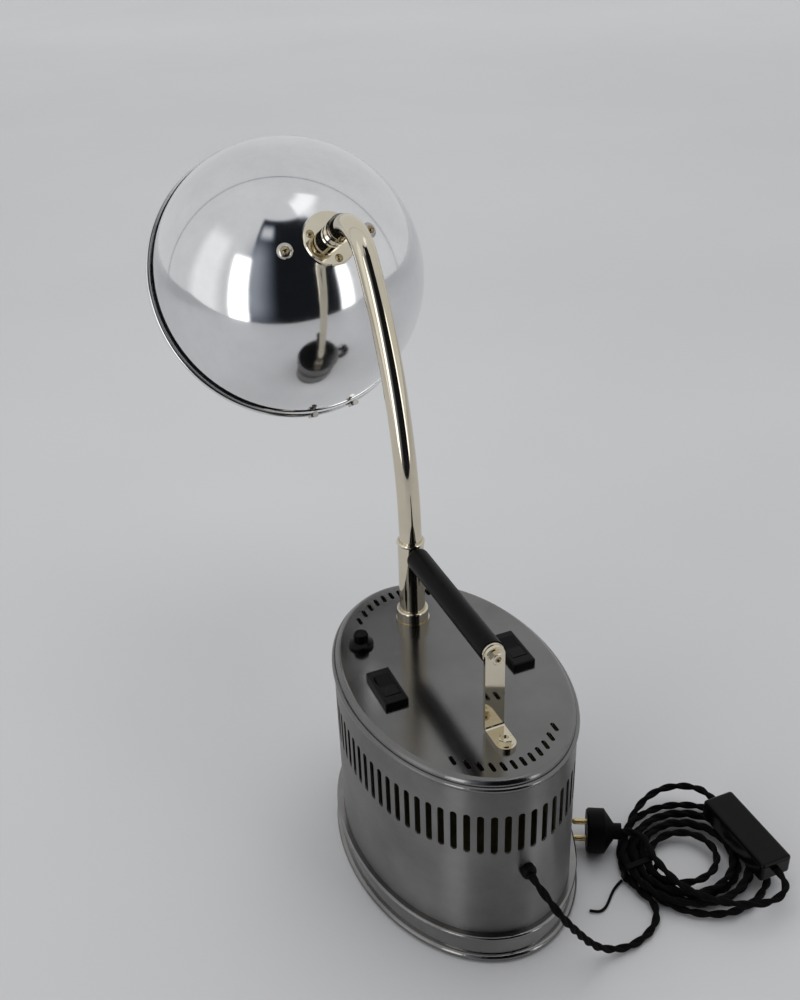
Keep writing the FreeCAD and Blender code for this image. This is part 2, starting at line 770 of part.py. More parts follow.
def make_switch(side, name):
    centre = Vector(side * switch_place, 0, housing_height)
    half = Vector(switch_width / 2, switch_length / 2, 0)
    box = block(centre - half, centre + half + up * switch_height)
    top = centre.z + switch_height
    rims = [edge for edge in box.Edges if edge.BoundBox.ZMax > centre.z + switch_round]
    box = box.makeFillet(switch_round, rims)
    pocket = Vector(rocker_width / 2 + rocker_gap, rocker_half_length + rocker_gap, 0)
    box = box.cut(block(centre - pocket - up * overrun, centre + pocket + up * (top - centre.z + overrun)))
    pivot = centre + up * rocker_pivot_height
    hole_reach = rocker_width / 2 + rocker_pin_length + rocker_gap
    box = box.cut(Part.makeCylinder(rocker_pin_radius + running_gap, hole_reach * 2,
                                    pivot - right * hole_reach, right))
    save("switch_box_" + name, [box])
    outline = [(along * rocker_half_length, rise * rocker_half_length)
               for along, rise in rocker_outline_shares]
    half_width = rocker_width / 2
    face = Part.Face(drawn(outline, lambda along, rise: pivot + Vector(-half_width, along, rise)))
    pin_reach = half_width + rocker_pin_length
    pin = Part.makeCylinder(rocker_pin_radius, pin_reach * 2, pivot - right * pin_reach, right)
    rocker = face.extrude(right * rocker_width).fuse(pin).removeSplitter()
    rocker.rotate(pivot, right, rocker_rest_angle)
    save("switch_rocker_" + name, [rocker])


def make_knob():
    foot = housing_height + seat_gap
    base = facing(Vector(knob_place_x, knob_place_y, foot), up)
    bore = shaft_radius + fit_gap
    bore_top = knob_height - knob_top_wall
    knob = turned([(bore, 0), (knob_skirt_radius, 0), (knob_skirt_radius, knob_skirt_height - knob_edge),
                   (knob_skirt_radius - knob_edge, knob_skirt_height), (knob_grip_radius, knob_grip_foot),
                   (knob_grip_radius, knob_height - knob_edge), (knob_grip_radius - knob_edge, knob_height),
                   (0, knob_height), (0, bore_top), (bore, bore_top)], base)
    flutes = []
    for number in range(knob_flute_count):
        angle = math.radians(number * full_turn / knob_flute_count)
        spot = base.Base + Vector(math.cos(angle), math.sin(angle), 0) * knob_grip_radius
        flutes.append(Part.makeCylinder(knob_flute_radius, knob_height, spot + up * knob_grip_foot, up))
    save("knob", [knob.cut(Part.makeCompound(flutes))])
    top = foot + bore_top
    shaft = Part.makeCylinder(shaft_radius, top - shaft_bottom,
                              Vector(knob_place_x, knob_place_y, shaft_bottom), up)
    save("knob_shaft", [shaft])
    under = housing_height - lid_plate
    case = turned([(shaft_radius + running_gap, 0), (control_radius, 0), (control_radius, control_height),
                   (shaft_radius + running_gap, control_height)],
                  facing(Vector(knob_place_x, knob_place_y, under - control_height), up))
    save("control_case", [case])


def coil_wire():
    # Half turns between the loops' left and right ends: in on the lower layer, out on the upper.
    low = tie_thickness + seat_gap + cord_radius
    high = low + cord_radius * 2 + coil_layer_gap
    lefts = [coil_left + number * coil_left_pitch for number in range(coil_turns_in + 1)]
    rights = [coil_right - number * coil_right_pitch for number in range(coil_turns_in + 1)]
    places = []
    for number in range(coil_turns_in):
        places += [(lefts[number], low), (rights[number], low)]
    places.append((lefts[-1], low))
    for number in reversed(range(coil_turns_in)):
        places += [(rights[number + 1] - coil_upper_right, high), (lefts[number] + coil_upper_left, high)]
    points = [Vector(across, coil_line, height) for across, height in places]
    lead = back * (cord_radius * 2)
    edges = [Part.LineSegment(points[0] - lead, points[0]).toShape()]
    way = 1
    for start, end in zip(points, points[1:]):
        middle = (start + end) * (1 / 2) + back * (way * start.distanceToPoint(end) / 2)
        edges.append(Part.Arc(start, middle, end).toShape())
        way = -way
    edges.append(Part.LineSegment(points[-1], points[-1] + lead).toShape())
    return Part.Wire(edges)


def least_gap(wire, radius):
    # The least distance between stretches of a wound tube that aren't neighbours along it.
    step = radius
    points = wire.discretize(Distance=step)
    apart = int(math.ceil(math.pi * radius * 3 / step))
    least = min(first.distanceToPoint(second) for index, first in enumerate(points)
                for second in points[index + apart:])
    return least - radius * 2


def make_cord():
    place = facing(Vector(0, -body_half_length, gland_height), back * -1)
    neck = body_wall + fit_gap
    end_radius = cord_radius + gland_lip
    bulge = Vector(gland_radius - end_radius, gland_length - gland_flange) * diagonal_share
    gland = turned([(0, -neck), (gland_neck_radius, -neck), (gland_neck_radius, 0), (gland_radius, 0),
                    (gland_radius, gland_flange),
                    ((end_radius + bulge.x, gland_flange + bulge.y), (end_radius, gland_length)),
                    (0, gland_length)], place)
    save("cord_gland", [gland])
    save("cord_lead", [cord_tube("cord_lead", lead_route, cord_radius)])
    wire = coil_wire()
    print("cord_coil length", round(wire.Length, 1), "least gap", round(least_gap(wire, cord_radius), 2))
    save("cord_coil", [tube(wire, cord_radius)])
    save("cord_loop", [cord_tube("cord_loop", loop_route, cord_radius)])
    save("cord_tail", [cord_tube("cord_tail", tail_route, cord_radius)])


def make_tie():
    inner_left = coil_left - cord_radius - seat_gap
    inner_right = coil_left + coil_turns_in * coil_left_pitch + cord_radius + tie_room
    inner_top = tie_thickness + seat_gap * 2 + cord_radius * 4 + coil_layer_gap
    front = coil_line + tie_place
    wall = Vector(tie_thickness, 0, tie_thickness)
    hollow_low = Vector(inner_left, front, tie_thickness)
    hollow_high = Vector(inner_right, front + tie_width, inner_top)
    hollow = block(hollow_low - back * overrun, hollow_high + back * overrun)
    band = block(hollow_low - wall, hollow_high + wall)
    corners = [edge for edge in band.Edges if edge.BoundBox.YLength > tie_width / 2]
    band = band.makeFillet(tie_round, corners).cut(hollow)
    save("cord_tie", [band, cord_tube("cord_tie", tie_route, tail_radius)])


def make_box():
    low_end = tail_route[0]
    high_end = loop_route[-1]
    half = box_width / 2
    base = block(Vector(low_end[0] - half, low_end[1], low_end[2] - box_half_height),
                 Vector(low_end[0] + half, high_end[1], low_end[2]))
    cover = base.copy()
    cover.translate(up * box_half_height)
    for name, shape, outside in (("inline_box_base", base, base.BoundBox.ZMin),
                                 ("inline_box_cover", cover, cover.BoundBox.ZMax)):
        rims = [edge for edge in shape.Edges if edge.BoundBox.ZLength > box_half_height / 2
                or abs(edge.BoundBox.Center.z - outside) < box_half_height / 2]
        save(name, [shape.makeFillet(box_round, rims)])


def make_plug():
    rear = Vector(*tail_route[-1])
    forward = (rear - Vector(*tail_route[-2])).normalize()
    place = facing(rear, forward)
    body = turned([(0, 0), (plug_neck_radius, 0), (plug_neck_radius, plug_neck_length),
                   (plug_radius, plug_shoulder), (plug_radius, plug_length - plug_edge),
                   (plug_radius - plug_edge, plug_length), (0, plug_length)], place)
    save("plug_body", [body])
    sideways = FreeCAD.Rotation(forward, plug_roll).multVec(up.cross(forward))
    pins = []
    for side in (-1, 1):
        foot = rear + forward * plug_length + sideways * (side * pin_spacing / 2)
        shaft_end = pin_length - pin_radius
        pins.append(turned([(0, 0), (pin_radius, 0), (pin_radius, shaft_end),
                            dome(pin_radius, shaft_end, pin_radius)], facing(foot, forward)))
    save("plug_pins", pins)


make_housing()
make_lid()
make_post()
make_arm()
make_neck()
make_reflector()
make_rim()
make_lamp()
make_handle()
make_switch(-1, "left")
make_switch(1, "right")
make_knob()
make_cord()
make_tie()
make_box()
make_plug()
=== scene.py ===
import math
import bpy
from mathutils import Matrix, Vector


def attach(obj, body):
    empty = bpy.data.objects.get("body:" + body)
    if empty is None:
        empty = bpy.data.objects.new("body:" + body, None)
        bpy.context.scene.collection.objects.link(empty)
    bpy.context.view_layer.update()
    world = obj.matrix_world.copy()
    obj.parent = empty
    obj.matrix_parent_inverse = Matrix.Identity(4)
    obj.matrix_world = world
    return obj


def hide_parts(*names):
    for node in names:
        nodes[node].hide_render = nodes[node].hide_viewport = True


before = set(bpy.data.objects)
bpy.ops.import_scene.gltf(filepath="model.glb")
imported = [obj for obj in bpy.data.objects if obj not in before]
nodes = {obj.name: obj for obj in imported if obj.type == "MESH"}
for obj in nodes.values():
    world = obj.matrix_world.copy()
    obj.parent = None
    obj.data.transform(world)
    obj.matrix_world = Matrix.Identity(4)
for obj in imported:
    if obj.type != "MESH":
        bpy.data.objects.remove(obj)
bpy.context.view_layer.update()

bpy.ops.object.select_all(action="DESELECT")
print("frame: loaded", len(nodes), "nodes")

# camera, solved from the oval base and lid
cameraView = {
    "place": (-0.2978, -0.6450, 0.7636),
    "right": (0.9192, -0.3926, -0.0311),
    "up": (0.2291, 0.4688, 0.8530),
    "ahead": (0.3203, 0.7912, -0.5209),
    "lens": 43.2,
    "sensor": 36.0,
}


def setCamera(view):
    bpy.ops.object.camera_add()
    camera = bpy.context.object
    camera.name = "photoCamera"
    right, up, ahead = Vector(view["right"]), Vector(view["up"]), Vector(view["ahead"])
    turn = Matrix((right, up, -ahead)).transposed().to_4x4()
    camera.matrix_world = Matrix.Translation(view["place"]) @ turn
    camera.data.sensor_fit = "VERTICAL"
    camera.data.sensor_height = view["sensor"]
    camera.data.lens = view["lens"]
    camera.data.clip_start = 0.01
    bpy.context.scene.camera = camera
    bpy.ops.object.select_all(action="DESELECT")


setCamera(cameraView)
print("camera: set")


# helpers for finishes
def startFinish(name):
    finish = bpy.data.materials.new(name)
    finish.use_nodes = True
    tree = finish.node_tree
    return finish, tree, tree.nodes["Principled BSDF"]


def addNode(tree, kind, **values):
    node = tree.nodes.new(kind)
    for key, value in values.items():
        if key in node.inputs:
            node.inputs[key].default_value = value
        else:
            setattr(node, key, value)
    return node


def objectPoints(tree, scale=(1, 1, 1), place=(0, 0, 0), turn=(0, 0, 0)):
    points = addNode(tree, "ShaderNodeTexCoord")
    mapping = addNode(tree, "ShaderNodeMapping", Scale=scale, Location=place, Rotation=turn)
    tree.links.new(points.outputs["Object"], mapping.inputs["Vector"])
    return mapping.outputs["Vector"]


def noiseOn(tree, vector, scale, detail=4.0, roughness=0.6):
    noise = addNode(tree, "ShaderNodeTexNoise", Scale=scale, Detail=detail, Roughness=roughness)
    tree.links.new(vector, noise.inputs["Vector"])
    return noise.outputs["Fac"]


def spread(tree, source, low, high, fromLow=0.3, fromHigh=0.7):
    ranged = addNode(tree, "ShaderNodeMapRange")
    for key, value in (("From Min", fromLow), ("From Max", fromHigh), ("To Min", low), ("To Max", high)):
        ranged.inputs[key].default_value = value
    tree.links.new(source, ranged.inputs["Value"])
    return ranged.outputs["Result"]


def tint(tree, source, dark, light, low=0.35, high=0.65):
    ramp = addNode(tree, "ShaderNodeValToRGB")
    ramp.color_ramp.elements[0].position = low
    ramp.color_ramp.elements[0].color = (*dark, 1)
    ramp.color_ramp.elements[1].position = high
    ramp.color_ramp.elements[1].color = (*light, 1)
    tree.links.new(source, ramp.inputs["Fac"])
    return ramp.outputs["Color"]


def bumpFrom(tree, shader, source, strength, distance):
    bump = addNode(tree, "ShaderNodeBump", Strength=strength, Distance=distance)
    tree.links.new(source, bump.inputs["Height"])
    tree.links.new(bump.outputs["Normal"], shader.inputs["Normal"])
    return bump


# metals: one dictionary for each finish; stretch draws highlights out upright
wallSteel = {"grain": (25, 25, 1400), "dark": (0.18, 0.174, 0.172), "light": (0.245, 0.238, 0.235),
             "rough": (0.33, 0.40), "bump": 0.015, "stretch": 0.95}
lidSteel = {"grain": (900, 22, 22), "dark": (0.185, 0.182, 0.179), "light": (0.225, 0.222, 0.218),
            "rough": (0.13, 0.19), "bump": 0.02, "stretch": 0.0}
ringSteel = {"grain": (40, 40, 700), "dark": (0.20, 0.194, 0.19), "light": (0.29, 0.283, 0.278),
             "rough": (0.09, 0.17), "bump": 0.03, "stretch": 0.4}
smallSteel = {"grain": (220, 220, 220), "dark": (0.45, 0.43, 0.39), "light": (0.58, 0.56, 0.52),
              "rough": (0.12, 0.24), "bump": 0.05, "stretch": 0.0}
screwBrass = {"grain": (300, 300, 300), "dark": (0.30, 0.24, 0.14), "light": (0.46, 0.38, 0.24),
              "rough": (0.18, 0.32), "bump": 0.06, "stretch": 0.0}
warmNickel = {"grain": (60, 60, 60), "dark": (0.66, 0.60, 0.47), "light": (0.77, 0.71, 0.58),
              "rough": (0.04, 0.10), "bump": 0.02, "stretch": 0.0}
holderWhite = {"grain": (180, 180, 180), "dark": (0.62, 0.60, 0.56), "light": (0.72, 0.70, 0.66),
               "rough": (0.45, 0.60), "bump": 0.15, "stretch": 0.0}
capBrass = {"grain": (150, 150, 150), "dark": (0.52, 0.38, 0.16), "light": (0.68, 0.53, 0.26),
            "rough": (0.22, 0.36), "bump": 0.08, "stretch": 0.0}
metalMarks = {"clouds": 14.0, "depth": 0.0004, "quarterTurn": 0.25}


def makeMetal(name, values, metallic=1.0):
    finish, tree, shader = startFinish(name)
    shader.inputs["Metallic"].default_value = metallic
    shader.inputs["Anisotropic"].default_value = values["stretch"]
    shader.inputs["Anisotropic Rotation"].default_value = metalMarks["quarterTurn"]
    if values["stretch"]:
        around = addNode(tree, "ShaderNodeTangent", direction_type="RADIAL", axis="Z")
        tree.links.new(around.outputs["Tangent"], shader.inputs["Tangent"])
    grain = noiseOn(tree, objectPoints(tree, values["grain"]), 1.0, 6.0, 0.65)
    clouds = noiseOn(tree, objectPoints(tree), metalMarks["clouds"], 5.0, 0.6)
    tree.links.new(tint(tree, clouds, values["dark"], values["light"]), shader.inputs["Base Color"])
    tree.links.new(spread(tree, grain, *values["rough"]), shader.inputs["Roughness"])
    bumpFrom(tree, shader, grain, values["bump"], metalMarks["depth"])
    return finish


# painted shade: dark brownish paint on the faces that look towards the housing's middle
insidePaintedShade = {"halfWidth": 0.0835, "halfLength": 0.125, "dark": (0.07, 0.055, 0.022),
             "light": (0.15, 0.12, 0.05), "rough": 0.7, "shadeMottle": 40.0, "inward": -0.1}


def paintShadeInside(finish, shadeValues):
    tree = finish.node_tree
    points = addNode(tree, "ShaderNodeTexCoord")
    outward = addNode(tree, "ShaderNodeVectorMath", operation="MULTIPLY")
    outward.inputs[1].default_value = (1 / shadeValues["halfWidth"], shadeValues["halfWidth"] / shadeValues["halfLength"] ** 2, 0)
    tree.links.new(points.outputs["Object"], outward.inputs[0])
    facing = addNode(tree, "ShaderNodeVectorMath", operation="DOT_PRODUCT")
    tree.links.new(outward.outputs["Vector"], facing.inputs[0])
    tree.links.new(points.outputs["Normal"], facing.inputs[1])
    inside = addNode(tree, "ShaderNodeMath", operation="LESS_THAN")
    inside.inputs[1].default_value = shadeValues["inward"]
    tree.links.new(facing.outputs["Value"], inside.inputs[0])
    # painted shade, mottled dark brown, on the inward faces of the housing
    paintedShade = addNode(tree, "ShaderNodeBsdfPrincipled", Roughness=shadeValues["rough"])
    shadeMottle = noiseOn(tree, objectPoints(tree), shadeValues["shadeMottle"], 5.0)
    tree.links.new(tint(tree, shadeMottle, shadeValues["dark"], shadeValues["light"]), paintedShade.inputs["Base Color"])
    mix = addNode(tree, "ShaderNodeMixShader")
    tree.links.new(inside.outputs[0], mix.inputs["Fac"])
    tree.links.new(tree.nodes["Principled BSDF"].outputs["BSDF"], mix.inputs[1])
    tree.links.new(paintedShade.outputs["BSDF"], mix.inputs[2])
    tree.links.new(mix.outputs["Shader"], tree.nodes["Material Output"].inputs["Surface"])
    return finish


# the reflector: spun lines run round the head's own axis
spunBowl = {"axis": (-0.0584, 0.8359, -0.5458), "rings": 900.0, "dark": (0.74, 0.74, 0.75),
            "light": (0.85, 0.85, 0.86), "rough": (0.045, 0.13), "bump": 0.012, "depth": 0.0003,
            "across": 6, "smears": 9.0}


def makeSpunAluminium(name, values):
    finish, tree, shader = startFinish(name)
    shader.inputs["Metallic"].default_value = 1.0
    turn = Vector(values["axis"]).rotation_difference(Vector((0, 0, 1))).to_euler()
    rim = objectPoints(tree, turn=tuple(turn))
    rings = addNode(tree, "ShaderNodeTexNoise", Scale=1.0, Detail=3.0)
    stretch = addNode(tree, "ShaderNodeMapping", Scale=(values["across"], values["across"], values["rings"]))
    tree.links.new(rim, stretch.inputs["Vector"])
    tree.links.new(stretch.outputs["Vector"], rings.inputs["Vector"])
    smears = noiseOn(tree, objectPoints(tree), values["smears"], 6.0, 0.7)
    tree.links.new(tint(tree, smears, values["dark"], values["light"]), shader.inputs["Base Color"])
    tree.links.new(spread(tree, smears, *values["rough"]), shader.inputs["Roughness"])
    bumpFrom(tree, shader, rings.outputs["Fac"], values["bump"], values["depth"])
    return finish


# the rim: a painted dark reflection, with a thin grey line, in the groove between two bright edges, placed
# along the head's axis
rimPaintedReflection = {"axis": spunBowl["axis"], "middle": (-0.00774, 0.31438, 0.38601), "low": -0.008, "high": 0.005,
            "reflectionBands": [(0.0, 0.75), (0.10, 0.75), (0.13, 0.012), (0.36, 0.012), (0.39, 0.12), (0.42, 0.012),
                      (0.61, 0.012), (0.64, 0.75)],
            "wear": 60.0, "rough": (0.06, 0.16), "bump": 0.03, "depth": 0.0002}


def makeRim(name, values):
    finish, tree, shader = startFinish(name)
    shader.inputs["Metallic"].default_value = 1.0
    points = addNode(tree, "ShaderNodeTexCoord")
    along = addNode(tree, "ShaderNodeVectorMath", operation="DOT_PRODUCT")
    along.inputs[1].default_value = values["axis"]
    tree.links.new(points.outputs["Object"], along.inputs[0])
    middle = Vector(values["middle"]).dot(Vector(values["axis"]))
    place = spread(tree, along.outputs["Value"], 0, 1, middle + values["low"], middle + values["high"])
    # painted reflection: near-black band with a thin grey line between the bright edges
    ramp = addNode(tree, "ShaderNodeValToRGB")
    for number, (where, level) in enumerate(values["reflectionBands"]):
        spot = ramp.color_ramp.elements[0] if number == 0 else ramp.color_ramp.elements.new(where)
        spot.position = where
        spot.color = (level, level, level, 1)
    tree.links.new(place, ramp.inputs["Fac"])
    tree.links.new(ramp.outputs["Color"], shader.inputs["Base Color"])
    wear = noiseOn(tree, objectPoints(tree), values["wear"], 5.0)
    tree.links.new(spread(tree, wear, *values["rough"]), shader.inputs["Roughness"])
    bumpFrom(tree, shader, wear, values["bump"], values["depth"])
    return finish


# black mouldings
moulding = {"dark": (0.0015, 0.0015, 0.002), "light": (0.003, 0.003, 0.003), "rough": (0.14, 0.27),
            "grain": 700.0, "shine": 0.14}
gripBlack = {"dark": (0.002, 0.002, 0.002), "light": (0.005, 0.0047, 0.0043), "rough": (0.30, 0.46),
             "grain": 260.0, "shine": 0.09}
rubberBlack = {"dark": (0.0015, 0.0015, 0.0015), "light": (0.0035, 0.0035, 0.0035), "rough": (0.40, 0.60),
               "grain": 500.0, "shine": 0.07}
plateCoat = {"dark": (0.04, 0.032, 0.015), "light": (0.09, 0.072, 0.034), "rough": (0.60, 0.80),
             "grain": 200.0, "shine": 0.2}
mouldingMarks = {"wear": 35.0, "bump": 0.12, "depth": 0.0002}


def makeMoulding(name, values, along=(1, 1, 1)):
    finish, tree, shader = startFinish(name)
    shader.inputs["Specular IOR Level"].default_value = values["shine"]
    speckle = noiseOn(tree, objectPoints(tree, along), values["grain"], 3.0)
    wear = noiseOn(tree, objectPoints(tree), mouldingMarks["wear"], 6.0, 0.7)
    tree.links.new(tint(tree, wear, values["dark"], values["light"], 0.4, 0.7), shader.inputs["Base Color"])
    tree.links.new(spread(tree, wear, *values["rough"]), shader.inputs["Roughness"])
    bumpFrom(tree, shader, speckle, mouldingMarks["bump"], mouldingMarks["depth"])
    return finish


# clear bulb with a little haze
bulbClear = {"dark": (0.93, 0.93, 0.91), "light": (0.98, 0.98, 0.97), "rough": (0.04, 0.12), "haze": 60.0,
             "bending": 1.45}


def makeGlass(name, values):
    finish, tree, shader = startFinish(name)
    shader.inputs["Transmission Weight"].default_value = 1.0
    shader.inputs["IOR"].default_value = values["bending"]
    haze = noiseOn(tree, objectPoints(tree), values["haze"], 4.0)
    tree.links.new(spread(tree, haze, *values["rough"]), shader.inputs["Roughness"])
    tree.links.new(tint(tree, haze, values["dark"], values["light"]), shader.inputs["Base Color"])
    return finish


# textile cover of the cord: crossed threads on the strand's own map, u round and v along
textile = {"dark": (0.0012, 0.0012, 0.0012), "light": (0.004, 0.004, 0.004), "threads": 9.0,
           "rough": (0.65, 0.90), "shine": 0.08, "sheen": 0.015, "slant": 0.7, "waver": 0.6, "bump": 0.5,
           "depth": 0.0003}


def makeTextile(name, values):
    finish, tree, shader = startFinish(name)
    shader.inputs["Specular IOR Level"].default_value = values["shine"]
    shader.inputs["Sheen Weight"].default_value = values["sheen"]
    strandMap = addNode(tree, "ShaderNodeUVMap", uv_map="strandMap")
    waves = []
    for turn in (values["slant"], -values["slant"]):
        mapping = addNode(tree, "ShaderNodeMapping", Rotation=(0, 0, turn))
        tree.links.new(strandMap.outputs["UV"], mapping.inputs["Vector"])
        wave = addNode(tree, "ShaderNodeTexWave", Scale=values["threads"], Distortion=values["waver"])
        tree.links.new(mapping.outputs["Vector"], wave.inputs["Vector"])
        waves.append(wave.outputs["Fac"])
    cross = addNode(tree, "ShaderNodeMath", operation="MAXIMUM")
    tree.links.new(waves[0], cross.inputs[0])
    tree.links.new(waves[1], cross.inputs[1])
    threads = tint(tree, cross.outputs[0], values["dark"], values["light"], 0.2, 1.0)
    tree.links.new(threads, shader.inputs["Base Color"])
    tree.links.new(spread(tree, cross.outputs[0], *values["rough"], 0, 1), shader.inputs["Roughness"])
    bumpFrom(tree, shader, cross.outputs[0], values["bump"], values["depth"])
    return finish


finishes = {
    "wall": paintShadeInside(makeMetal("wallSteel", wallSteel), insidePaintedShade),
    "lid": makeMetal("lidSteel", lidSteel),
    "ring": makeMetal("ringSteel", ringSteel),
    "small": makeMetal("smallSteel", smallSteel),
    "screw": makeMetal("screwBrass", screwBrass),
    "rim": makeRim("rimPaintedReflection", rimPaintedReflection),
    "nickel": makeMetal("warmNickel", warmNickel),
    "bowl": makeSpunAluminium("spunAluminium", spunBowl),
    "moulding": makeMoulding("blackMoulding", moulding),
    "grip": makeMoulding("blackGrip", gripBlack, (1, 0.06, 1)),
    "rubber": makeMoulding("blackRubber", rubberBlack),
    "plate": makeMoulding("plateCoat", plateCoat),
    "holder": makeMetal("holderWhite", holderWhite, 0.0),
    "brass": makeMetal("capBrass", capBrass),
    "glass": makeGlass("bulbGlass", bulbClear),
    "textile": makeTextile("cordTextile", textile),
}

finishOf = {
    "wall": ["body_shell"],
    "plate": ["bottom_plate", "control_case"],
    "lid": ["lid"],
    "ring": ["base_ring"],
    "small": ["rim_clips", "rim_clip_screws", "reflector_washers", "knob_shaft"],
    "screw": ["flange_screws", "reflector_screws", "handle_rod"],
    "nickel": ["post_collar", "post_sleeve", "arm_tube", "neck_collar", "neck_ball", "neck_cup", "flange",
               "grip_ring", "handle_strap", "strap_washers", "strap_nut", "foot_bolt"],
    "bowl": ["reflector"],
    "rim": ["rim_band"],
    "moulding": ["switch_box_left", "switch_box_right", "switch_rocker_left", "switch_rocker_right", "knob",
                 "inline_box_base", "inline_box_cover"],
    "grip": ["handle_grip"],
    "rubber": ["cord_gland", "plug_body"],
    "holder": ["lamp_holder"],
    "brass": ["bulb_cap", "plug_pins"],
    "glass": ["bulb_glass"],
}


def dressNodes():
    for finish, names in finishOf.items():
        for name in names:
            mesh = nodes[name].data
            mesh.materials.clear()
            mesh.materials.append(finishes[finish])


dressNodes()
print("finishes: on the frame's nodes")

# cord: route points in metres; the lead and the tail keep within about 10 mm of the solids'
cordValues = {"diameter": 0.0062, "pitch": 0.029, "sides": 12, "step": 0.0014, "fineness": 16,
              "strandShare": 0.32}
leadRoute = [(0.0, -0.132, 0.089), (0.0, -0.1424, 0.089), (0.0021, -0.1517, 0.0851),
             (0.006, -0.1588, 0.0776), (0.0116, -0.162, 0.0676), (0.0185, -0.162, 0.0562),
             (0.0265, -0.1595, 0.0425), (0.0355, -0.1578, 0.028), (0.0465, -0.157, 0.0145),
             (0.06, -0.1572, 0.006), (0.075, -0.1575, 0.0031), (0.0915, -0.1535, 0.0032),
             (0.1045, -0.1455, 0.0037), (0.1115, -0.132, 0.0045), (0.1065, -0.1132, 0.0046)]
loopRoute = [(0.1095, -0.1008, 0.0114), (0.1095, -0.0884, 0.0114), (0.1168, -0.0772, 0.0114),
             (0.126, -0.067, 0.0116), (0.1365, -0.0565, 0.0122), (0.149, -0.0475, 0.0132),
             (0.1635, -0.0415, 0.015), (0.1785, -0.0408, 0.017), (0.1915, -0.0465, 0.0194),
             (0.2005, -0.056, 0.0218), (0.204, -0.0675, 0.0238), (0.204, -0.0785, 0.0238)]
tailRoute = [(0.204, -0.1565, 0.0238), (0.204, -0.1655, 0.0236), (0.2005, -0.1735, 0.0222),
             (0.1925, -0.1775, 0.0208), (0.1805, -0.1775, 0.0198), (0.1685, -0.1735, 0.0191),
             (0.157, -0.1665, 0.0186), (0.147, -0.158, 0.0184), (0.138, -0.148, 0.0184),
             (0.131, -0.135, 0.0186), (0.128, -0.119, 0.0192), (0.1275, -0.1015, 0.0199),
             (0.1315, -0.087, 0.0194), (0.1305, -0.0746, 0.0182), (0.119, -0.0685, 0.0182)]
coilValues = {"left": 0.106, "right": 0.222, "line": -0.107, "turnsIn": 3, "leftPitch": 0.0069,
              "rightPitch": 0.012, "upperLeft": 0.0035, "upperRight": 0.0055, "low": 0.0046, "high": 0.0114,
              "pointsPerHalf": 12,
              "fan": [0, 0.002, 0, -0.002, 0, 0, 0, -0.004, 0, -0.002, 0, 0]}


def coilPoints(coil):
    # half turns between the left and right ends; the fan spreads them apart above and below
    turns = coil["turnsIn"]
    lefts = [coil["left"] + number * coil["leftPitch"] for number in range(turns + 1)]
    rights = [coil["right"] - number * coil["rightPitch"] for number in range(turns + 1)]
    places = []
    for number in range(turns):
        places += [(lefts[number], coil["low"]), (rights[number], coil["low"])]
    places.append((lefts[-1], coil["low"]))
    for number in reversed(range(turns)):
        places += [(rights[number + 1] - coil["upperRight"], coil["high"]),
                   (lefts[number] + coil["upperLeft"], coil["high"])]
    points = []
    count = coil["pointsPerHalf"]
    grow = 1 / (0.5 + 0.5 * math.cos(math.pi / count))  # the spline runs inside its points
    way = 1
    for (startX, startZ), (endX, endZ), fan in zip(places, places[1:], coil["fan"]):
        middle, half = (startX + endX) / 2, (startX - endX) / 2
        for number in range(count):
            angle = math.pi * (number + 0.5) / count
            climb = (1 - math.cos(angle)) / 2
            points.append((middle + half * grow * math.cos(angle),
                           coil["line"] + way * (abs(half) + fan) * grow * math.sin(angle),
                           startZ + (endZ - startZ) * climb))
        way = -way
    return points


def routeCurve(name, route, fineness):
    curve = bpy.data.curves.new(name, "CURVE")
    curve.dimensions = "3D"
    spline = curve.splines.new("NURBS")
    spline.points.add(len(route) - 1)
    for point, place in zip(spline.points, route):
        point.co = (*place, 1)
    spline.order_u = 3
    spline.use_endpoint_u = True
    spline.resolution_u = fineness
    holder = bpy.data.objects.new(name, curve)
    bpy.context.scene.collection.objects.link(holder)
    return holder


def splinePoints(name, route, values):
    # places at even steps along the route's spline
    step = values["step"]
    holder = routeCurve(name, route, values["fineness"])
    line = bpy.data.meshes.new_from_object(holder)
    points = [vertex.co.copy() for vertex in line.vertices]
    bpy.data.objects.remove(holder)
    bpy.data.meshes.remove(line)
    even = [points[0]]
    left = step
    for start, end in zip(points, points[1:]):
        run = (end - start).length
        along = left
        while along <= run:
            even.append(start.lerp(end, along / run))
            along += step
        left = along - run
    if (even[-1] - points[-1]).length < step / 2:
        even.pop()
    even.append(points[-1])
    return even


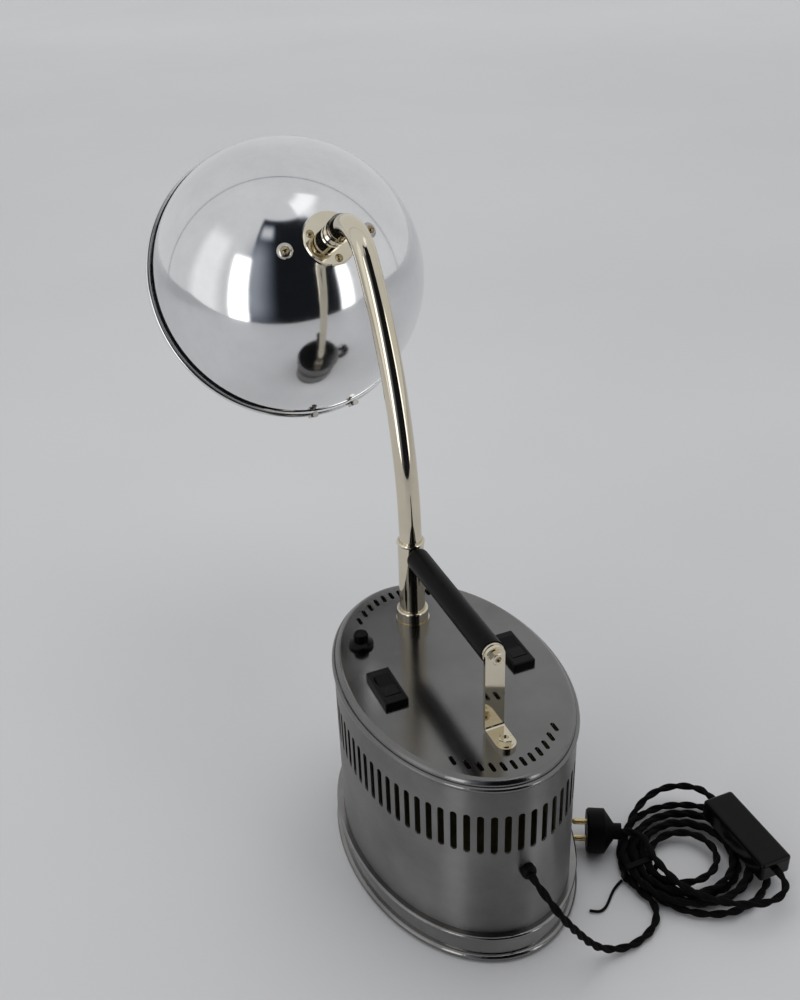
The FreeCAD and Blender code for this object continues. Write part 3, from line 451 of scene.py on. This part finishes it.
def makeTwist(name, path, values):
    # two strands wound round each other along the path, each flat where they press together
    sides, strand = values["sides"], values["diameter"] * values["strandShare"]
    offset = values["diameter"] / 2 - strand
    verts, faces, maps = [], [], []
    heading = (path[1] - path[0]).normalized()
    across = heading.cross(Vector((0, 0, 1))).normalized()
    frames, travelled = [], 0.0
    for number, point in enumerate(path):
        ahead = path[min(number + 1, len(path) - 1)] - path[max(number - 1, 0)]
        ahead.normalize()
        across = heading.rotation_difference(ahead) @ across
        across = (across - ahead * across.dot(ahead)).normalized()
        heading = ahead
        frames.append((point, across.copy(), ahead.cross(across), travelled))
        if number + 1 < len(path):
            travelled += (path[number + 1] - point).length
    for begin in (0, math.pi):
        first = len(verts)
        for point, side, up, along in frames:
            wind = begin + 2 * math.pi * along / values["pitch"]
            outward = side * math.cos(wind) + up * math.sin(wind)
            level = up * math.cos(wind) - side * math.sin(wind)
            for number in range(sides):
                angle = 2 * math.pi * number / sides
                reach = offset + max(strand * math.cos(angle), -offset)
                verts.append(point + outward * reach + level * (strand * math.sin(angle)))
        for ring in range(len(frames) - 1):
            for number in range(sides):
                following = (number + 1) % sides
                here, there = first + ring * sides, first + (ring + 1) * sides
                faces.append((here + number, here + following, there + following, there + number))
                low, high = frames[ring][3] / strand, frames[ring + 1][3] / strand
                around = [2 * math.pi * step / sides for step in (number, number + 1)]
                maps += [(around[0], low), (around[1], low), (around[1], high), (around[0], high)]
        for ring, order in ((0, -1), (len(frames) - 1, 1)):
            cap = [first + ring * sides + number for number in range(sides)]
            faces.append(cap[::order])
            maps += [(0, 0)] * sides
    mesh = bpy.data.meshes.new(name)
    mesh.from_pydata(verts, [], faces)
    layer = mesh.uv_layers.new(name="strandMap")
    for loop, place in zip(layer.data, maps):
        loop.uv = place
    mesh.polygons.foreach_set("use_smooth", [True] * len(mesh.polygons))
    mesh.materials.append(finishes["textile"])
    piece = bpy.data.objects.new(name, mesh)
    bpy.context.scene.collection.objects.link(piece)
    return piece


def pathLength(path):
    return sum((end - start).length for start, end in zip(path, path[1:]))


# tie round the coil: a soft band and its loose wire end
tieValues = {"middle": (0.1177, -0.1005, 0.008), "size": (0.0315, 0.005, 0.0149), "corner": 0.0045,
             "thickness": 0.0011, "wire": 0.0022, "fineness": 12, "roundness": 4, "cornerSteps": 8,
             "cuts": 3, "facing": 0.9}
tieRoute = [(0.101, -0.1005, 0.0022), (0.094, -0.103, 0.0018), (0.087, -0.108, 0.0013),
            (0.0805, -0.114, 0.0013), (0.074, -0.1186, 0.0013), (0.068, -0.1186, 0.0013),
            (0.0632, -0.1146, 0.0013)]


def selectNothing(kind):
    bpy.ops.object.mode_set(mode="EDIT")
    bpy.ops.mesh.select_mode(type=kind)
    bpy.ops.mesh.select_all(action="DESELECT")
    bpy.ops.object.mode_set(mode="OBJECT")


def makeTieBand(values):
    bpy.ops.mesh.primitive_cube_add(size=1, location=values["middle"])
    band = bpy.context.object
    band.name = "tie_band"
    band.scale = values["size"]
    bpy.ops.object.transform_apply(location=True, rotation=True, scale=True)
    selectNothing("FACE")
    for face in band.data.polygons:
        face.select = abs(face.normal.y) > values["facing"]
    bpy.ops.object.mode_set(mode="EDIT")
    bpy.ops.mesh.delete(type="FACE")
    bpy.ops.object.mode_set(mode="OBJECT")
    selectNothing("EDGE")
    places = band.data.vertices
    for edge in band.data.edges:
        first, second = (places[number].co for number in edge.vertices)
        edge.select = abs(first.y - second.y) > values["size"][1] / 2
    bpy.ops.object.mode_set(mode="EDIT")
    bpy.ops.mesh.bevel(offset=values["corner"], segments=values["cornerSteps"])
    bpy.ops.mesh.select_all(action="SELECT")
    bpy.ops.mesh.subdivide(number_cuts=values["cuts"])
    bpy.ops.object.mode_set(mode="OBJECT")
    wall = band.modifiers.new("wall", "SOLIDIFY")
    wall.thickness = values["thickness"]
    wall.offset = 0
    bpy.ops.object.modifier_apply(modifier="wall")
    edges = band.modifiers.new("edges", "BEVEL")
    edges.width = values["thickness"] / 3
    edges.segments = 2
    bpy.ops.object.modifier_apply(modifier="edges")
    bpy.ops.object.shade_smooth_by_angle()
    bpy.ops.object.select_all(action="DESELECT")
    band.data.materials.append(finishes["rubber"])
    return band


def makeWire(name, route, values):
    wire = routeCurve(name, route, values["fineness"])
    wire.data.bevel_depth = values["wire"] / 2
    wire.data.bevel_resolution = values["roundness"]
    wire.data.use_fill_caps = True
    bpy.context.view_layer.objects.active = wire
    wire.select_set(True)
    bpy.ops.object.convert(target="MESH")
    bpy.ops.object.shade_smooth_by_angle()
    bpy.ops.object.select_all(action="DESELECT")
    wire.data.materials.append(finishes["rubber"])
    return wire


tieBand = makeTieBand(tieValues)
tieWire = makeWire("tie_wire", tieRoute, tieValues)
tiePath = splinePoints("tieRoute", tieRoute, cordValues)
for piece in (tieBand, tieWire):
    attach(piece, "base")
    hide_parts("cord_tie")

mainPath = splinePoints("mainRoute", leadRoute + coilPoints(coilValues) + loopRoute, cordValues)
mainCord = makeTwist("mains_cord", mainPath, cordValues)
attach(mainCord, "base")
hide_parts("cord_lead", "cord_coil", "cord_loop")
tailPath = splinePoints("tailRoute", tailRoute, cordValues)
plugCord = makeTwist("plug_cord", tailPath, cordValues)
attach(plugCord, "base")
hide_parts("cord_tail")
print("cord:", round(pathLength(mainPath), 3), "m to the box and",
      round(pathLength(tailPath), 3), "m to the plug")

# stage: a pale floor in a pale tent; behind the camera its open front is dark between bright strips
stageValues = {"floor": (0.625, 0.625, 0.635), "far": (0.88, 0.88, 0.89), "turn": (1.2, 3.8), "size": 14.0,
               "front": 1.2, "drop": 0.0003, "rough": 0.55, "shine": 0.25, "clouds": 1.5, "shade": 0.97}
tentValues = {"behind": (-0.375, -0.927, 0), "wall": 0.66, "pale": (0.98, 0.99, 1.0),
              "deep": (0.80, 0.92, 1.15), "deepTo": (0.05, 0.6), "seam": -0.3, "seamWidth": 0.009,
              "seamShare": 0.5, "patches": [
    {"sides": (-80, -54), "heights": (-20, 42), "level": 0.95, "soft": 12},
    {"sides": (-28, 47), "heights": (-75, 66), "level": 0.01, "soft": 3},
    {"sides": (-32, -14), "heights": (-12, 46), "level": 0.34, "soft": 24},
    {"sides": (-24, -9), "heights": (51, 60), "level": 0.6, "soft": 7},
    {"sides": (-44, -28), "heights": (-30, 34), "level": 2.4, "soft": 4},
    {"sides": (47, 58), "heights": (-20, 30), "level": 2.0, "soft": 4},
    {"sides": (35, 100), "heights": (67, 80), "level": 1.15, "soft": 7},
]}
softLights = [
    {"name": "topLight", "place": (0.25, 0.55, 2.1), "aim": (0, 0.1, 0.2), "size": 2.2, "power": 14},
    {"name": "leftLight", "place": (-1.9, 0.5, 1.3), "aim": (0, 0.1, 0.25), "size": 1.4, "power": 5},
]


def mathOf(tree, operation, first, second=None):
    node = addNode(tree, "ShaderNodeMath", operation=operation)
    for socket, value in zip(node.inputs, (first, second)):
        if isinstance(value, bpy.types.NodeSocket):
            tree.links.new(value, socket)
        elif value is not None:
            socket.default_value = value
    return node.outputs[0]


def setFloor(values):
    # beyond the tent's open front the floor shows to the camera alone
    behind = Vector(tentValues["behind"]).normalized()
    bpy.ops.mesh.primitive_plane_add(size=values["size"], location=(0, 0, -values["drop"]))
    bpy.ops.object.transform_apply(location=True)
    floor = bpy.context.object
    floor.name = "paleFloor"
    finish, tree, shader = startFinish("paleFloor")
    shader.inputs["Roughness"].default_value = values["rough"]
    shader.inputs["Specular IOR Level"].default_value = values["shine"]
    clouds = noiseOn(tree, objectPoints(tree), values["clouds"], 3.0)
    away = addNode(tree, "ShaderNodeVectorMath", operation="DOT_PRODUCT")
    away.inputs[1].default_value = -behind
    tree.links.new(objectPoints(tree), away.inputs[0])
    # painted light: the floor's colour grows paler away from the camera, lighting the far floor that the
    # lamps leave dim
    mix = addNode(tree, "ShaderNodeMix", data_type="RGBA")
    tree.links.new(spread(tree, away.outputs["Value"], 0, 1, *values["turn"]), mix.inputs["Factor"])
    for socket, colour in ((6, values["floor"]), (7, values["far"])):
        shades = tint(tree, clouds, tuple(values["shade"] * value for value in colour), colour)
        tree.links.new(shades, mix.inputs[socket])
    tree.links.new(mix.outputs[2], shader.inputs["Base Color"])
    beyond = mathOf(tree, "LESS_THAN", away.outputs["Value"], -values["front"])
    seen = addNode(tree, "ShaderNodeLightPath").outputs["Is Camera Ray"]
    clear = mathOf(tree, "MULTIPLY", beyond, mathOf(tree, "SUBTRACT", 1, seen))
    cover = addNode(tree, "ShaderNodeMixShader")
    tree.links.new(clear, cover.inputs["Fac"])
    tree.links.new(shader.outputs["BSDF"], cover.inputs[1])
    tree.links.new(addNode(tree, "ShaderNodeBsdfTransparent").outputs["BSDF"], cover.inputs[2])
    tree.links.new(cover.outputs["Shader"], tree.nodes["Material Output"].inputs["Surface"])
    floor.data.materials.append(finish)
    bpy.ops.object.select_all(action="DESELECT")


def stepUp(tree, value, edge, soft):
    ranged = addNode(tree, "ShaderNodeMapRange", interpolation_type="SMOOTHSTEP")
    ranged.inputs["From Min"].default_value = math.radians(edge - soft / 2)
    ranged.inputs["From Max"].default_value = math.radians(edge + soft / 2)
    tree.links.new(value, ranged.inputs["Value"])
    return ranged.outputs["Result"]


def setTent(values):
    world = bpy.data.worlds.new("paleTent")
    bpy.context.scene.world = world
    world.use_nodes = True
    tree = world.node_tree
    points = addNode(tree, "ShaderNodeTexCoord").outputs["Generated"]
    behind = Vector(values["behind"]).normalized()
    parts = []
    for axis in (behind, Vector((0, 0, 1)).cross(behind), Vector((0, 0, 1))):
        along = addNode(tree, "ShaderNodeVectorMath", operation="DOT_PRODUCT")
        along.inputs[1].default_value = axis
        tree.links.new(points, along.inputs[0])
        parts.append(along.outputs["Value"])
    side = mathOf(tree, "ARCTAN2", parts[1], parts[0])
    height = mathOf(tree, "ARCSINE", parts[2])
    level = values["wall"]
    for patch in values["patches"]:
        inside = 1.0
        for value, (low, high) in ((side, patch["sides"]), (height, patch["heights"])):
            rise = stepUp(tree, value, low, patch["soft"])
            fall = stepUp(tree, value, high, patch["soft"])
            inside = mathOf(tree, "MULTIPLY", mathOf(tree, "SUBTRACT", rise, fall), inside)
        change = mathOf(tree, "SUBTRACT", patch["level"], level)
        level = mathOf(tree, "ADD", mathOf(tree, "MULTIPLY", inside, change), level)
    seam = mathOf(tree, "COMPARE", parts[0], values["seam"])
    seam.node.inputs[2].default_value = values["seamWidth"]
    darker = mathOf(tree, "MULTIPLY", seam, values["seamShare"])
    level = mathOf(tree, "MULTIPLY", level, mathOf(tree, "SUBTRACT", 1, darker))
    seen = addNode(tree, "ShaderNodeLightPath").outputs["Is Camera Ray"]
    pale = mathOf(tree, "MULTIPLY", seen, mathOf(tree, "SUBTRACT", values["wall"], level))
    level = mathOf(tree, "ADD", pale, level)
    blend = addNode(tree, "ShaderNodeMix", data_type="RGBA")
    tree.links.new(spread(tree, level, 0, 1, *values["deepTo"]), blend.inputs["Factor"])
    blend.inputs[6].default_value = (*values["deep"], 1)
    blend.inputs[7].default_value = (*values["pale"], 1)
    tree.links.new(blend.outputs[2], tree.nodes["Background"].inputs["Color"])
    tree.links.new(level, tree.nodes["Background"].inputs["Strength"])


def setLights(lights):
    for light in lights:
        bpy.ops.object.light_add(type="AREA", location=light["place"])
        lamp = bpy.context.object
        lamp.name = light["name"]
        lamp.data.size = light["size"]
        lamp.data.energy = light["power"]
        lamp.visible_glossy = False
        aim = Vector(light["aim"]) - Vector(light["place"])
        lamp.rotation_euler = aim.to_track_quat("-Z", "Y").to_euler()
    bpy.ops.object.select_all(action="DESELECT")


setFloor(stageValues)
setTent(tentValues)
setLights(softLights)
bpy.context.scene.view_settings.view_transform = "Standard"
print("stage: floor, tent and lights")
